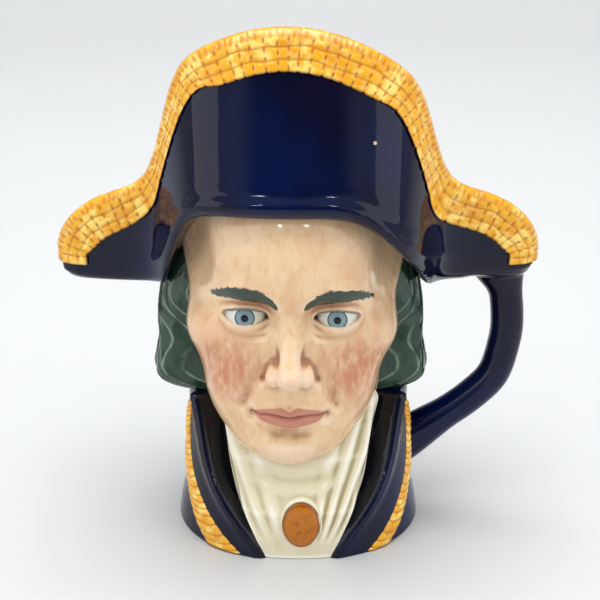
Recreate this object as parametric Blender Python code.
"""A glazed earthenware character jug: an officer's head and shoulders under a two-pointed hat.

The jug is slip-cast in one piece, with a handle luted on, so it is one solid. X runs from the
viewer's left to right, the face looks along -Y, and Z is up from the foot. Sizes below are in
millimetres, and MM turns them into the scene's metres.
"""

import math

import bmesh
import bpy
import numpy as np
from mathutils import Matrix

MM = 0.001

# The whole jug
HEIGHT = 180.0            # foot to the top of the front flap
SPAN = 164.5              # from point to point of the hat, inside the lace
WALL = 4.6                # thickness of the cast wall
FLOOR = 6.0               # thickness of the bottom
SET_BACK = 4.0            # moves the modelled forms back, so that the jug stands centred on the origin

# The hat
CROWN_WIDTH = 93.0        # between the places where the front turns into the wings
CROWN_FRONT = 47.5        # how far the brim stands in front of the hat's middle line
CROWN_BACK = 44.0
FRONT_LEAN = 14.0         # how far the top of the front flap leans back over the brim
BACK_LEAN = 8.0
BACK_TOP = 160.0          # height of the back flap
BRIM_FRONT = 126.0        # height of the brim over the forehead
BRIM_BACK = 106.0
POINT_LOW = 90.5          # underside of the hat's wings
POINT_RISE = 5.0          # height of the tip of each point above that
POINT_ROUND = 5.0         # length of the round below each tip
BRIM_LIFT = 1.5           # lower edge of the flaps above the underside
WING_TOP = 125.5          # edge of the front flap's wings beside the crown
WING_STEP = 7.0           # how much lower the back flap's wings are
CROWN_ARCH = 9.7          # fall of the crown's edge, a third of its width from its top
ARCH_LEFT = 3.5           # how far that top is to the viewer's left
CROWN_ROUND = 110.0       # radius of the crown's front, seen from above
WING_THICK = 27.0         # front to back, beside the crown
POINT_THICK = 13.0        # front to back, at the points
BRAID_WIDTH = 12.0        # gold lace round the edge of both flaps
BRAID_RISE = 1.2
BRIM_ROLL = 1.6           # rolled edge of the brim
VALLEY = 5.0              # depth of the groove between the two flaps along the wings

# The head
HEAD_HEIGHT = 109.0       # chin to crown, which the hat hides
CHIN = 34.0               # height of the chin above the foot
HEAD_LEFT = 2.6           # how far the head sits to the viewer's left
HEAD_FORWARD = 4.0
HEAD_TILT = 1.0           # degrees, its top towards the viewer's right
HEAD_TURN = 1.0           # degrees, towards the viewer's left
EYE = (13.7, 28.4, 50.0)  # middle of an eye: aside, forward and up, in hundredths of that height
EYE_BALL = 6.0
EYE_HALF = 7.0            # half the width between its lids' corners

# The hair
HAIR_WIDTH = 91.0
HAIR_BACK = 43.0
HAIR_UNDER = 27.0         # reach of the hair's hidden front, inside the face
HAIR_LOW = 47.0
HAIR_HIGH = 108.0
LOCKS = 15                # wavy locks on each side
LOCK_DEPTH = 1.7

# The shoulders
FOOT_WIDTH = 87.0
FOOT_FRONT = 41.0
FOOT_BACK = 43.0
COLLAR_TOP = 52.0
COLLAR_WIDTH = 78.0
BUST_POWER = 2.2          # squareness of the bust's plan
LAPEL_RISE = 2.6          # how far the lapels stand off the coat
LAPEL_ROLL = 1.4          # the rolled inner edge of each lapel, above its face
CLOTH_SINK = 2.4          # how far the neckcloth lies behind the coat
CLOTH_TOP = 58.0
CLOTH_TURN = 15.6         # degrees from the front to the neckcloth's edge, at the foot
CLOTH_SPREAD = 37.4       # how much further round that edge is at the collar's top
LAPEL_TURN = 45.0         # degrees from the front to the lapel's outer edge, at the foot
LAPEL_SPREAD = 20.8
LAPEL_BELLY = 14.0        # how much further round it swings halfway up
RECESS = 3.2              # depth of the gap between the neckcloth and the lapel's roll
RECESS_TURN = 7.5         # its width in degrees, at the collar's top
FOOT_RING = 7.0           # width of the ring that the jug stands on
FOOT_HOLLOW = 1.5

# The brooch
BROOCH_WIDTH = 11.0
BROOCH_HEIGHT = 15.0
BROOCH_RISE = 2.2
BROOCH_MIDDLE = 14.0      # height of its middle
BROOCH_RIGHT = 1.0        # its middle, to the viewer's right of the jug's

# The handle
HANDLE_THICK = 11.8
HANDLE_OUT = 74.5         # how far its middle stands from the jug's axis
HANDLE_TOP = 88.0
HANDLE_LOW = 16.0         # height of the middle of its lower root

# Fineness of the facets
VOXEL = 1.0
FACET_SHARE = 0.036       # share of the fused skin's facets that is kept

OVER = 10.0               # how far a cutter runs out past the rim

HALF_SPAN = SPAN / 2
HUNDREDTH = HEAD_HEIGHT / 100


def soft_step(low, high, value):
    """0 below low, 1 above high, and a smooth rise between."""
    share = np.clip((value - low) / (high - low), 0, 1)
    return share * share * (3 - 2 * share)


def soft_max(first, second, blend):
    """The larger of two, with a fillet of about the size blend where they meet."""
    share = np.clip(0.5 + 0.5 * (first - second) / blend, 0, 1)
    return second + (first - second) * share + blend * share * (1 - share)


def bump(value, middle, half):
    """A soft hump of height 1 round a middle."""
    return np.exp(-(((value - middle) / half) ** 2))


def ball_of_clay(columns, rings, place):
    """A closed ball pressed into shape: place takes the turn about the ball's axis, 0 in front and
    growing to the viewer's right, and the share of the way up it."""
    clay = bmesh.new()
    bmesh.ops.create_uvsphere(clay, u_segments=columns, v_segments=rings, radius=1)
    unit = np.array([vert.co for vert in clay.verts])
    turn = np.arctan2(unit[:, 0], -unit[:, 1])
    share = 1 - np.arccos(np.clip(unit[:, 2], -1, 1)) / math.pi
    points = np.stack(place(turn, share), axis=1)
    for vert, point in zip(clay.verts, points):
        vert.co = point
    bmesh.ops.recalc_face_normals(clay, faces=clay.faces)
    return clay


def oval(turn, half, front, back, power):
    """Distance from the middle to an oval with a different reach in front and behind."""
    deep = np.where(np.cos(turn) > 0, front, back)
    return ((np.abs(np.sin(turn)) / half) ** power + (np.abs(np.cos(turn)) / deep) ** power) ** (-1 / power)


# The head: a field of distances in hundredths of its height, measured from the chin


def egg(point, centre, radii):
    """Distance to an egg-shaped lump."""
    scaled = [(point[axis] - centre[axis]) / radii[axis] for axis in range(3)]
    near = np.sqrt(sum(part**2 for part in scaled)) + 1e-9
    far = np.sqrt(sum((part / radius) ** 2 for part, radius in zip(scaled, radii))) + 1e-9
    return near * (near - 1) / far


def roll(point, start, end, start_radius, end_radius):
    """Distance to a roll of clay that tapers from one end to the other."""
    along = [end[axis] - start[axis] for axis in range(3)]
    length = sum(part**2 for part in along)
    share = sum((point[axis] - start[axis]) * along[axis] for axis in range(3)) / length
    share = np.clip(share, 0, 1)
    gap = np.sqrt(sum((point[axis] - start[axis] - share * along[axis]) ** 2 for axis in range(3)))
    return gap - start_radius - (end_radius - start_radius) * share


def add(clay, lump, blend):
    return -soft_max(-clay, -lump, blend)


def press(clay, tool, blend):
    return soft_max(clay, -tool, blend)


def skull(point):
    clay = egg(point, (0, -3, 66), (34.5, 40, 34))
    clay = add(clay, egg(point, (0, 8.5, 67), (30.5, 28.5, 24)), 10)
    clay = add(clay, egg(point, (0, 8, 40), (30, 26.5, 34)), 10)
    clay = add(clay, roll(point, (21, 2, 21), (9, 22, 10), 8, 8.5), 9)
    clay = add(clay, egg(point, (0, 13, 19), (22, 20, 17)), 8)
    return add(clay, roll(point, (0, -4, 20), (0, -6, -14), 22, 26), 6)


def cheeks_and_chin(clay, point):
    clay = add(clay, egg(point, (19.5, 16.5, 41.5), (12, 13, 9)), 8)
    clay = add(clay, egg(point, (14.5, 20.5, 27), (10, 10, 12)), 8)
    clay = add(clay, egg(point, (0, 19.5, 21.5), (13.5, 15.5, 12.5)), 7)
    clay = add(clay, egg(point, (0, 24.5, 6.8), (9.5, 9.5, 7.2)), 6)
    clay = add(clay, egg(point, (0, 29.0, 6.8), (7.5, 5.0, 4.6)), 4)
    return press(clay, roll(point, (0, 39.8, 12.3), (5, 36.8, 12.6), 3.2, 1.6), 3.5)


def brow(clay, point):
    clay = add(clay, roll(point, (4, 31.8, 56.0), (13, 30.6, 58.2), 4.4, 4.3), 5)
    clay = add(clay, roll(point, (13, 30.6, 58.2), (24, 19, 56), 4.3, 4.2), 4.5)
    return press(clay, egg(point, (32, 24, 66), (6, 12, 12)), 9)


def lid_lines(side):
    """Heights of the upper and lower lids' edges over the middle of the eye."""
    share = np.clip(side / EYE_HALF, -1, 1)
    open_up = 3.2 * np.sqrt(1 - share**2) ** 1.25 * (1 - 0.12 * share)
    open_down = -1.85 * np.sqrt(1 - share**2) ** 1.25 * (1 + 0.22 * share)
    slant = 0.45 * share
    return open_up + slant, open_down + slant


def eyes(clay, point):
    side, forward, up = point
    clay = press(clay, egg(point, (9.0, 38.5, 51), (4.5, 7.5, 4.5)), 4.5)
    clay = press(clay, egg(point, (15.5, 38.2, 50.4), (9, 8.4, 5.2)), 4.5)
    ball = egg(point, EYE, (EYE_BALL,) * 3)
    lids = egg(point, (EYE[0], EYE[1] + 0.1, EYE[2] + 0.1), (EYE_BALL + 1.25, EYE_BALL + 0.9, EYE_BALL + 0.4))
    clay = add(clay, lids, 1.6)
    over, under = lid_lines(side - EYE[0])
    crease = np.sqrt((up - EYE[2] - over - 2.0) ** 2 + (forward - EYE[1] - EYE_BALL * 0.93) ** 2)
    crease = crease - 0.1 + 1.2 * soft_step(0.75, 1.25, np.abs(side - EYE[0]) / EYE_HALF)
    clay = press(clay, crease, 1.1)
    bag = np.sqrt((up - EYE[2] - 1.6 * under + 3.2) ** 2 + (forward - EYE[1] - 5.2) ** 2)
    bag = bag - 0.1 + 1.5 * soft_step(0.7, 1.3, np.abs(side - EYE[0]) / EYE_HALF)
    clay = press(clay, bag, 1.6)
    gap = np.minimum(over - (up - EYE[2]), (up - EYE[2]) - under) * 0.9
    gap = np.minimum(gap, EYE_HALF - np.abs(side - EYE[0]))
    slit = np.maximum(-gap, EYE[1] - forward)
    clay = press(clay, slit, 0.35)
    return add(clay, ball, 0.2)


def nose(clay, point):
    lump = roll(point, (0, 31.8, 55), (0, 33.6, 48), 3.0, 2.7)
    lump = add(lump, roll(point, (0, 33.6, 48), (0, 39.8, 36), 2.7, 3.3), 2)
    lump = add(lump, egg(point, (0, 40.9, 34.0), (3.9, 4.1, 3.6)), 2)
    lump = add(lump, egg(point, (4.7, 36.4, 33.0), (2.8, 4.9, 3.2)), 2.0)
    lump = add(lump, roll(point, (0, 40.5, 31.4), (0, 35.5, 29.8), 1.5, 1.8), 1.4)
    lump = press(lump, egg(point, (3.0, 38.2, 29.6), (1.7, 3.0, 1.6)), 0.9)
    clay = add(clay, lump, 3.4)
    wing = roll(point, (7.9, 36.0, 36.2), (8.3, 32.5, 30.6), 0.4, 0.4)
    return press(clay, wing, 2.4)


def mouth_line(side):
    share = np.clip(np.abs(side) / 10.5, 0, 1)
    return 19.3 - 0.22 * np.cos(np.clip(share * 2.2, 0, 1) * np.pi) * (1 - share) + 0.25 * share**2


def lips(clay, point):
    side, forward, up = point
    share = np.clip(side / 10.6, 0, 1)
    front = 36.6 - 5.6 * share**2
    line = mouth_line(side)
    full = np.sqrt(1 - share**2.2)
    bow = line + 1.15 * full + 0.35 * bump(side, 2.6, 1.6) - 0.25 * bump(side, 0, 1.2)
    upper = np.sqrt(((up - bow) / 0.95) ** 2 + (forward - front + 1.5) ** 2) - 1.75 * full
    upper = np.maximum(upper, side - 10.8)
    under = line - 1.75 * full
    lower = np.sqrt((up - under) ** 2 + (forward - front + 1.7) ** 2) - 2.1 * full * (1 - 0.1 * share)
    lower = np.maximum(lower, side - 9.8)
    clay = add(clay, upper, 1.3)
    clay = add(clay, lower, 1.3)
    part = np.sqrt((up - line) ** 2 * 4 + (forward - front - 0.2) ** 2) - 0.35 - 0.7 * full
    clay = press(clay, np.maximum(part, side - 10.9), 0.5)
    clay = press(clay, roll(point, (0, 37.9, 28.5), (0, 37.8, 22.5), 0.5, 0.9), 2.0)
    return press(clay, egg(point, (11.6, 33.2, 18.9), (0.6, 0.8, 0.7)), 3.0)


def head_field(sideways, forward, up):
    point = (np.abs(sideways), forward, up)
    clay = cheeks_and_chin(skull(point), point)
    clay = nose(brow(clay, point), point)
    clay = press(clay, roll(point, (9.2, 35.2, 34.0), (14.2, 32.4, 22), 0.3, 0.1), 3.4)
    clay = lips(clay, point)
    return eyes(clay, point)


def head_place(turn, share):
    """Where a ray from inside the head comes out of it."""
    fall = math.pi * (share - 0.5)
    ray = (np.sin(turn) * np.cos(fall), np.cos(turn) * np.cos(fall), np.sin(fall))
    start = (0, 3, 44)
    reach = np.full(turn.shape, 75.0)
    for _ in range(48):
        point = [start[axis] + reach * ray[axis] for axis in range(3)]
        reach = np.maximum(reach - 0.8 * head_field(*point), 5)
    side, forward, up = [(start[axis] + reach * ray[axis]) * HUNDREDTH for axis in range(3)]
    return side, -forward, up


def head():
    clay = ball_of_clay(120, 110, head_place)
    turned = Matrix.Rotation(-math.radians(HEAD_TURN), 4, "Z")
    tilted = Matrix.Rotation(math.radians(HEAD_TILT), 4, "Y")
    moved = Matrix.Translation((-HEAD_LEFT, -HEAD_FORWARD, CHIN))
    clay.transform(moved @ tilted @ turned)
    return clay


# The hair: a shell of wavy locks round the sides and back of the head


def lock_phase(turn, height):
    """Half turns from lock to lock: they fall in slow waves and turn in towards the jaw at the collar."""
    side = np.abs(turn)
    wave = 0.1 * np.sin(height / 9 + 0.4) + 0.02 * np.sin(height / 4 + 2 * side)
    inward = 0.3 * soft_step(HAIR_LOW + 20, HAIR_LOW, height)
    return LOCKS * (side + wave + 0.08 * np.sin(3.1 * side) + inward) / 1.3


def lock_relief(turn, height):
    """Height of the locks over the plain mass of the hair."""
    return LOCK_DEPTH * (np.abs(np.cos(lock_phase(turn, height))) ** 0.8 - 0.5)


def hair_place(turn, share):
    height = HAIR_LOW + (HAIR_HIGH - HAIR_LOW) * share
    behind = soft_step(math.radians(50), math.radians(80), np.abs(turn))
    closing = np.sqrt(np.clip(1 - (2 * share - 1) ** 8, 0, 1))
    curl = 2.2 * bump(height, HAIR_LOW + 10, 7) - 2.5 * soft_step(HAIR_HIGH - 30, HAIR_HIGH - 12, height)
    full = oval(turn, HAIR_WIDTH / 2, HAIR_WIDTH / 2, HAIR_BACK, 2) + curl + lock_relief(turn, height)
    radius = (HAIR_UNDER + (full - HAIR_UNDER) * behind) * closing
    return radius * np.sin(turn) - HEAD_LEFT, -radius * np.cos(turn), height


def hair():
    return ball_of_clay(300, 60, hair_place)


# The hat: two flaps that stand up front and back and meet at the points


def falling(x, half, power):
    """1 over the middle of the hat, falling away smoothly past half."""
    return 1 / (1 + (np.abs(x) / half) ** power)


def tip_rise(x):
    """How far the round of either point lifts the hat's lower edge."""
    share = np.clip((np.abs(x) - HALF_SPAN) / POINT_ROUND + 1, 0, 1)
    return (POINT_RISE - BRIM_LIFT) * (1 - np.sqrt(1 - share**2))


def edge_height(x, top):
    """Height of a flap's upper edge: an arch over the crown, long wings and round points. The lower
    flap behind has lower wings too."""
    step = WING_STEP * (HEIGHT - top) / (HEIGHT - BACK_TOP)
    wing = WING_TOP - step - 0.3 * (np.abs(x) - CROWN_WIDTH / 2)
    dome = top - CROWN_ARCH * ((x + ARCH_LEFT) / (CROWN_WIDTH / 3)) ** 2
    arch = wing + (dome - wing) * falling(x, 0.472 * CROWN_WIDTH, 15)
    corner = np.clip((np.abs(x) / HALF_SPAN - 0.66) / 0.34, 0, 1)
    tip = POINT_LOW + POINT_RISE
    return tip + (arch - tip) * (1 - corner**3.5) ** 0.4545


def brim_height(x, middle):
    """Height of a flap's lower edge: raised over the forehead, low along the wings."""
    low = POINT_LOW + BRIM_LIFT
    return low + tip_rise(x) + (middle - low) * falling(x, 0.4 * CROWN_WIDTH, 4)


def wing_reach(x):
    """Half the thickness of a wing, which thins towards its round end."""
    along = np.clip((np.abs(x) - CROWN_WIDTH / 2) / (HALF_SPAN - CROWN_WIDTH / 2), 0, 1)
    end = np.clip((np.abs(x) - HALF_SPAN) / (POINT_THICK / 2) + 1, 0, 0.95)
    return (WING_THICK + (POINT_THICK - WING_THICK) * along) / 2 * np.sqrt(1 - end**2)


def flap_reach(x, z, reach, lean, brim, top):
    """How far a flap's outer face stands from the hat's middle line."""
    up = np.clip((z - brim) / (top - brim), -0.4, 1)
    crown = (reach - lean * up - x**2 / (2 * CROWN_ROUND)) * falling(x, 0.49 * CROWN_WIDTH, 8)
    return soft_max(crown, wing_reach(x) - 2 * np.clip(up, 0, 1), 9)


def flap(reach, lean, brim, top, facing):
    """One flap, a sheet given the wall's thickness: facing is -1 for the front and 1 for the back."""
    clay = bmesh.new()
    bmesh.ops.create_grid(clay, x_segments=96, y_segments=22, size=1)
    unit = np.array([vert.co for vert in clay.verts])
    x = (HALF_SPAN - 0.8) * (0.8 * unit[:, 0] + 0.2 * unit[:, 0] ** 3)
    low = brim_height(x, brim)
    z = low + (edge_height(x, top) - low) * (unit[:, 1] + 1) / 2
    out = flap_reach(x, z, reach, lean, brim, top)
    lace = BRAID_RISE * soft_step(0, 0.8, z - edge_height(x, top) + BRAID_WIDTH)
    rolled = BRIM_ROLL * np.exp(-(((z - low) / BRIM_ROLL - 1) ** 2)) * falling(x, 0.52 * CROWN_WIDTH, 8)
    y = facing * (out + lace + rolled)
    for vert, point in zip(clay.verts, np.stack([x, y, z], axis=1)):
        vert.co = point
    bmesh.ops.recalc_face_normals(clay, faces=clay.faces)
    if sum(face.normal.y for face in clay.faces) * facing < 0:
        bmesh.ops.reverse_faces(clay, faces=clay.faces)
    bmesh.ops.solidify(clay, geom=clay.faces[:], thickness=WALL + BRAID_RISE)
    bmesh.ops.recalc_face_normals(clay, faces=clay.faces)
    return clay


def hat_block_place(turn, share):
    """The hat's underside and the filling of its wings, as a boat from point to point."""
    along = -np.cos(math.pi * share)
    x = (HALF_SPAN - 1) * along
    closing = np.sqrt(np.clip(1 - along**24, 0, 1))
    front_low = brim_height(x, BRIM_FRONT)
    back_low = brim_height(x, BRIM_BACK)
    depth = np.cos(turn)
    over = np.sin(turn)
    front = flap_reach(x, front_low, CROWN_FRONT, FRONT_LEAN, BRIM_FRONT, HEIGHT) - 0.5
    back = flap_reach(x, back_low, CROWN_BACK, BACK_LEAN, BRIM_BACK, BACK_TOP) - 0.5
    y = np.where(depth > 0, -front, back) * np.abs(depth) ** 0.8 * closing
    low = front_low + (back_low - front_low) * soft_step(-0.8, 0.8, -depth)
    groove = VALLEY * (1 - soft_step(0.8, 0.95, np.abs(along)))
    top = np.minimum(edge_height(x, BACK_TOP) - groove, WING_TOP + 4)
    room = low - tip_rise(x) - POINT_LOW + 1
    sag = np.minimum(5 + 9 * bump(np.abs(x), CROWN_WIDTH / 2, 9), room)
    height = np.where(over > 0, np.maximum(top - low, 2), sag) * closing
    z = low + np.sign(over) * np.abs(over) ** 0.7 * height
    return x, y, z


def hat_block():
    """The ball's axis lies along the hat, so its turn runs round the wing's section."""
    return ball_of_clay(40, 90, hat_block_place)


# The shoulders: coat, lapels and neckcloth round one loft


def coat_sizes(height):
    """Half-width, front and back of the bust at a height."""
    heights = np.array([0, 0.12, 0.33, 0.67, 0.87, 1.1]) * COLLAR_TOP
    neck = COLLAR_WIDTH / 2
    foot = FOOT_WIDTH / 2
    sides = np.interp(height, heights, [foot, foot - 1, foot - 3.5, neck - 0.5, neck, neck])
    fronts = FOOT_FRONT - np.interp(height, heights, [0, -0.5, 0, 4, 9, 12])
    backs = FOOT_BACK - np.interp(height, heights, [0, 0.5, 2, 4, 4, 3])
    return sides, fronts, backs


def lapel_edges(height):
    """Turns from the front, at a height, of the neckcloth's edge, the lapel's rolled inner edge and
    its outer edge."""
    share = np.clip(height / COLLAR_TOP, 0, 1)
    cloth = np.radians(CLOTH_TURN + CLOTH_SPREAD * share)
    rolled = cloth + np.radians(RECESS_TURN) * soft_step(0.08, 0.65, share)
    outer = LAPEL_TURN + LAPEL_SPREAD * share + LAPEL_BELLY * 4 * share * (1 - share)
    return cloth, rolled, np.radians(outer)


def coat_lift(side, height):
    """How far the skin of the shoulders stands off their plain oval."""
    cloth, rolled, outer = lapel_edges(height)
    soft = math.radians(0.9)
    lift = -CLOTH_SINK - RECESS * soft_step(cloth - soft, cloth + soft, side)
    lift = lift + (CLOTH_SINK + RECESS + LAPEL_RISE) * soft_step(rolled - soft, rolled + soft, side)
    lift = lift - LAPEL_RISE * soft_step(outer - soft, outer + 2 * soft, side)
    lift = lift + LAPEL_ROLL * bump(side, rolled + math.radians(4), math.radians(3.2))
    return lift * (0.3 + 0.7 * soft_step(0, COLLAR_TOP / 2, height))


def coat_place(turn, share):
    wall = np.clip((share - 0.1) / 0.8, 0, 1)
    height = -3 + (COLLAR_TOP + 3) * wall
    radius = oval(turn, *coat_sizes(height), BUST_POWER) + coat_lift(np.abs(turn), height)
    rounding = np.minimum(1, np.minimum(share, 1 - share) * 10)
    radius = radius * np.sin(rounding * math.pi / 2) ** 0.6
    return radius * np.sin(turn), -radius * np.cos(turn), height


def coat():
    return ball_of_clay(300, 70, coat_place)


def cloth_folds(x, z):
    """Height of the folds: slack loops under the chin, and pleats that fan up from behind the brooch."""
    fan = np.degrees(np.arctan2(x, z + 20))
    high = soft_step(2, 18, z)
    pleats = 1.7 * bump(fan, 11, 2.2) + 1.9 * bump(fan, 17, 2.0) + 1.6 * bump(fan, 22.5, 2.0)
    pleats = pleats + 1.4 * bump(fan, 27.5, 1.8)
    pleats = pleats + 1.9 * bump(fan, -13, 3.4) + 1.7 * bump(fan, -21, 3.0) + 1.3 * bump(fan, -28, 2.4)
    ring = np.hypot(x, 1.15 * (z - 52))
    loops = 0.8 * bump(ring, 24, 3.2) + 0.6 * bump(ring, 32, 3.0)
    middle = soft_step(16, 8, np.abs(x)) * soft_step(14, 22, z)
    return pleats * high * (1 - 0.7 * middle) + loops * middle + 0.5 * bump(fan, 4, 3) * (1 - high)


def cloth_place(turn, share):
    height = -1 + (CLOTH_TOP + 1) * np.clip((share - 0.02) / 0.96, 0, 1)
    cloth, _, _ = lapel_edges(height)
    section = turn / math.pi
    front = np.clip(section / 0.72, -1, 1)
    angle = front * (cloth + math.radians(2.2))
    radius = oval(angle, *coat_sizes(height), BUST_POWER)
    folds = cloth_folds(radius * np.sin(angle), height)
    tuck = soft_step(0.86, 1.0, np.abs(front)) * 2.4
    behind = soft_step(0.72, 0.9, np.abs(section)) * 3.0
    sink = CLOTH_SINK * (0.3 + 0.7 * soft_step(0, COLLAR_TOP / 2, height))
    radius = radius - sink + 0.7 + folds - tuck - behind - 3 * soft_step(44, CLOTH_TOP, height)
    angle = angle * (1 - soft_step(0.9, 1, np.abs(section)))
    radius = radius - 2 * (1 - np.clip(np.minimum(share, 1 - share) / 0.02, 0, 1))
    return radius * np.sin(angle), -radius * np.cos(angle), height


def neckcloth():
    return ball_of_clay(160, 80, cloth_place)


def brooch_place(turn, share):
    fall = math.pi * (share - 0.5)
    x = BROOCH_WIDTH / 2 * np.sin(turn) * np.cos(fall)
    y = -(BROOCH_RISE + 1) * np.cos(turn) * np.cos(fall)
    return x, y, BROOCH_HEIGHT / 2 * np.sin(fall)


def brooch():
    clay = ball_of_clay(20, 14, brooch_place)
    clay.transform(Matrix.Translation((BROOCH_RIGHT, 1 - FOOT_FRONT, BROOCH_MIDDLE)))
    return clay


# The handle: a round-oval roll from under the hat's point to the coat's side


def handle_line(share):
    """Sideways place and height of the handle's middle line."""
    bends = np.array([0, 0.16, 0.34, 0.52, 0.68, 0.84, 1.0])
    out = np.array([0.92, 0.98, 1.0, 0.95, 0.81, 0.66, 0.42]) * HANDLE_OUT
    drop = np.array([-0.12, 0.06, 0.28, 0.53, 0.67, 0.78, 0.96])
    fine = np.linspace(0, 1, 41)
    kernel = np.array([1, 2, 3, 4, 3, 2, 1]) / 16
    smooth = []
    for values in (out, HANDLE_TOP - drop * (HANDLE_TOP - HANDLE_LOW)):
        line = np.interp(fine, bends, values)
        padded = np.concatenate([2 * line[0] - line[3:0:-1], line, 2 * line[-1] - line[-2:-5:-1]])
        smooth.append(np.convolve(padded, kernel, "valid"))
    return np.interp(share, fine, smooth[0]), np.interp(share, fine, smooth[1])


def handle_place(turn, share):
    x, z = handle_line(share)
    ahead_x, ahead_z = handle_line(np.clip(share + 0.02, 0, 1))
    behind_x, behind_z = handle_line(np.clip(share - 0.02, 0, 1))
    length = np.hypot(ahead_x - behind_x, ahead_z - behind_z)
    across_x = (behind_z - ahead_z) / length
    across_z = (ahead_x - behind_x) / length
    flare = 1 + 0.8 * soft_step(0.2, 0, share) + 0.45 * soft_step(0.75, 1.0, share)
    closing = np.sqrt(np.clip(1 - (2 * share - 1) ** 30, 0, 1))
    radius = HANDLE_THICK / 2 * flare * closing
    sideways = radius * np.cos(turn)
    return x + across_x * sideways, 0.95 * radius / flare**0.5 * np.sin(turn) + 3, z + across_z * sideways


def handle():
    return ball_of_clay(20, 60, handle_place)


# The inside, and the foot


def inside_sizes(height):
    """Half-width, front and back of the hollow at a height."""
    neck_rise = COLLAR_TOP - 2
    heights = [FLOOR, FLOOR + 9, FLOOR + 24, neck_rise, neck_rise + 20, BRIM_BACK - 6, BRIM_FRONT - 8]
    heights = heights + [BRIM_FRONT + 6, HEIGHT + OVER]
    foot = FOOT_WIDTH / 2 - WALL
    neck = COLLAR_WIDTH / 2 - WALL
    temple = HAIR_WIDTH / 2 - 15.5
    mouth = CROWN_WIDTH / 2 - WALL - 1
    front = FOOT_FRONT - WALL - CLOTH_SINK
    brow = CROWN_FRONT - WALL - 2
    back = FOOT_BACK - WALL
    nape = HAIR_BACK - 9
    crown = CROWN_BACK - WALL - 2
    sides = [foot - 6, foot - 3, foot - 4, neck - 4, temple, temple + 0.5, temple + 3, mouth, mouth]
    fronts = [front - 6, front - 2, front - 3, front - 9, temple - 1, temple - 1, temple + 1, brow, brow - 18]
    backs = [back - 6, back - 2, back - 3, back - 5, nape, nape + 2, nape + 4, crown, crown - 10]
    return [np.interp(height, heights, row) for row in (sides, fronts, backs)]


def inside_place(turn, share):
    """The hollow of the jug, from the flat floor out through the mouth."""
    height = FLOOR + (HEIGHT + OVER - FLOOR) * np.clip((share - 0.1) / 0.85, 0, 1)
    closing = np.clip(np.minimum(share / 0.1, (1 - share) / 0.05), 0, 1)
    radius = closing * oval(turn, *inside_sizes(height), 2.3)
    return radius * np.sin(turn), -radius * np.cos(turn), height


def inside():
    return ball_of_clay(36, 24, inside_place)


def foot_hollow():
    """The shallow hollow inside the ring that the jug stands on."""
    clay = bmesh.new()
    depth = 2 * FOOT_HOLLOW
    bmesh.ops.create_cone(clay, cap_ends=True, segments=48, radius1=1, radius2=1, depth=depth)
    for vert in clay.verts:
        turn = math.atan2(vert.co.x, -vert.co.y)
        radius = float(oval(turn, *coat_sizes(0.0), BUST_POWER)) - FOOT_RING
        vert.co.x = radius * math.sin(turn)
        vert.co.y = -radius * math.cos(turn)
    return clay


def ground():
    """A block that takes off whatever reaches below the foot."""
    clay = bmesh.new()
    bmesh.ops.create_cube(clay, size=3 * SPAN)
    bmesh.ops.translate(clay, verts=clay.verts, vec=(0, 0, -1.5 * SPAN))
    return clay


# Joining the forms


def solid(name, clays):
    """One object from several closed forms, in metres and standing over the origin."""
    mesh = bpy.data.meshes.new(name)
    joined = bmesh.new()
    for clay in clays:
        clay.to_mesh(mesh)
        joined.from_mesh(mesh)
        clay.free()
    bmesh.ops.translate(joined, verts=joined.verts, vec=(0, SET_BACK, 0))
    bmesh.ops.scale(joined, verts=joined.verts, vec=(MM, MM, MM))
    joined.to_mesh(mesh)
    joined.free()
    made = bpy.data.objects.new(name, mesh)
    bpy.context.scene.collection.objects.link(made)
    return made


def cutter(name, clay):
    made = solid(name, [clay])
    made.hide_render = True
    made.display_type = "WIRE"
    return made


def cut(made, tool):
    boolean = made.modifiers.new(tool.name, "BOOLEAN")
    boolean.operation = "DIFFERENCE"
    boolean.solver = "EXACT"
    boolean.object = tool


def glaze():
    """Clear glossy glaze over the navy ground that covers most of the jug."""
    made = bpy.data.materials.new("navy glaze")
    made.use_nodes = True
    shader = made.node_tree.nodes["Principled BSDF"]
    shader.inputs["Base Color"].default_value = (0.005, 0.007, 0.035, 1)
    shader.inputs["Roughness"].default_value = 0.12
    shader.inputs["Metallic"].default_value = 0
    return made


def jug():
    front = flap(CROWN_FRONT, FRONT_LEAN, BRIM_FRONT, HEIGHT, -1)
    back = flap(CROWN_BACK, BACK_LEAN, BRIM_BACK, BACK_TOP, 1)
    made = solid("jug", [coat(), neckcloth(), brooch(), head(), hair(), hat_block(), front, back, handle()])
    made.data.materials.append(glaze())
    fused = made.modifiers.new("one casting", "REMESH")
    fused.mode = "VOXEL"
    fused.voxel_size = VOXEL * MM
    fewer = made.modifiers.new("facets", "DECIMATE")
    fewer.ratio = FACET_SHARE
    cut(made, cutter("inside", inside()))
    cut(made, cutter("ground", ground()))
    cut(made, cutter("foot hollow", foot_hollow()))
    made.data.shade_smooth()
    return made


def clear_scene():
    for old in list(bpy.data.objects):
        bpy.data.objects.remove(old)


clear_scene()
jug()
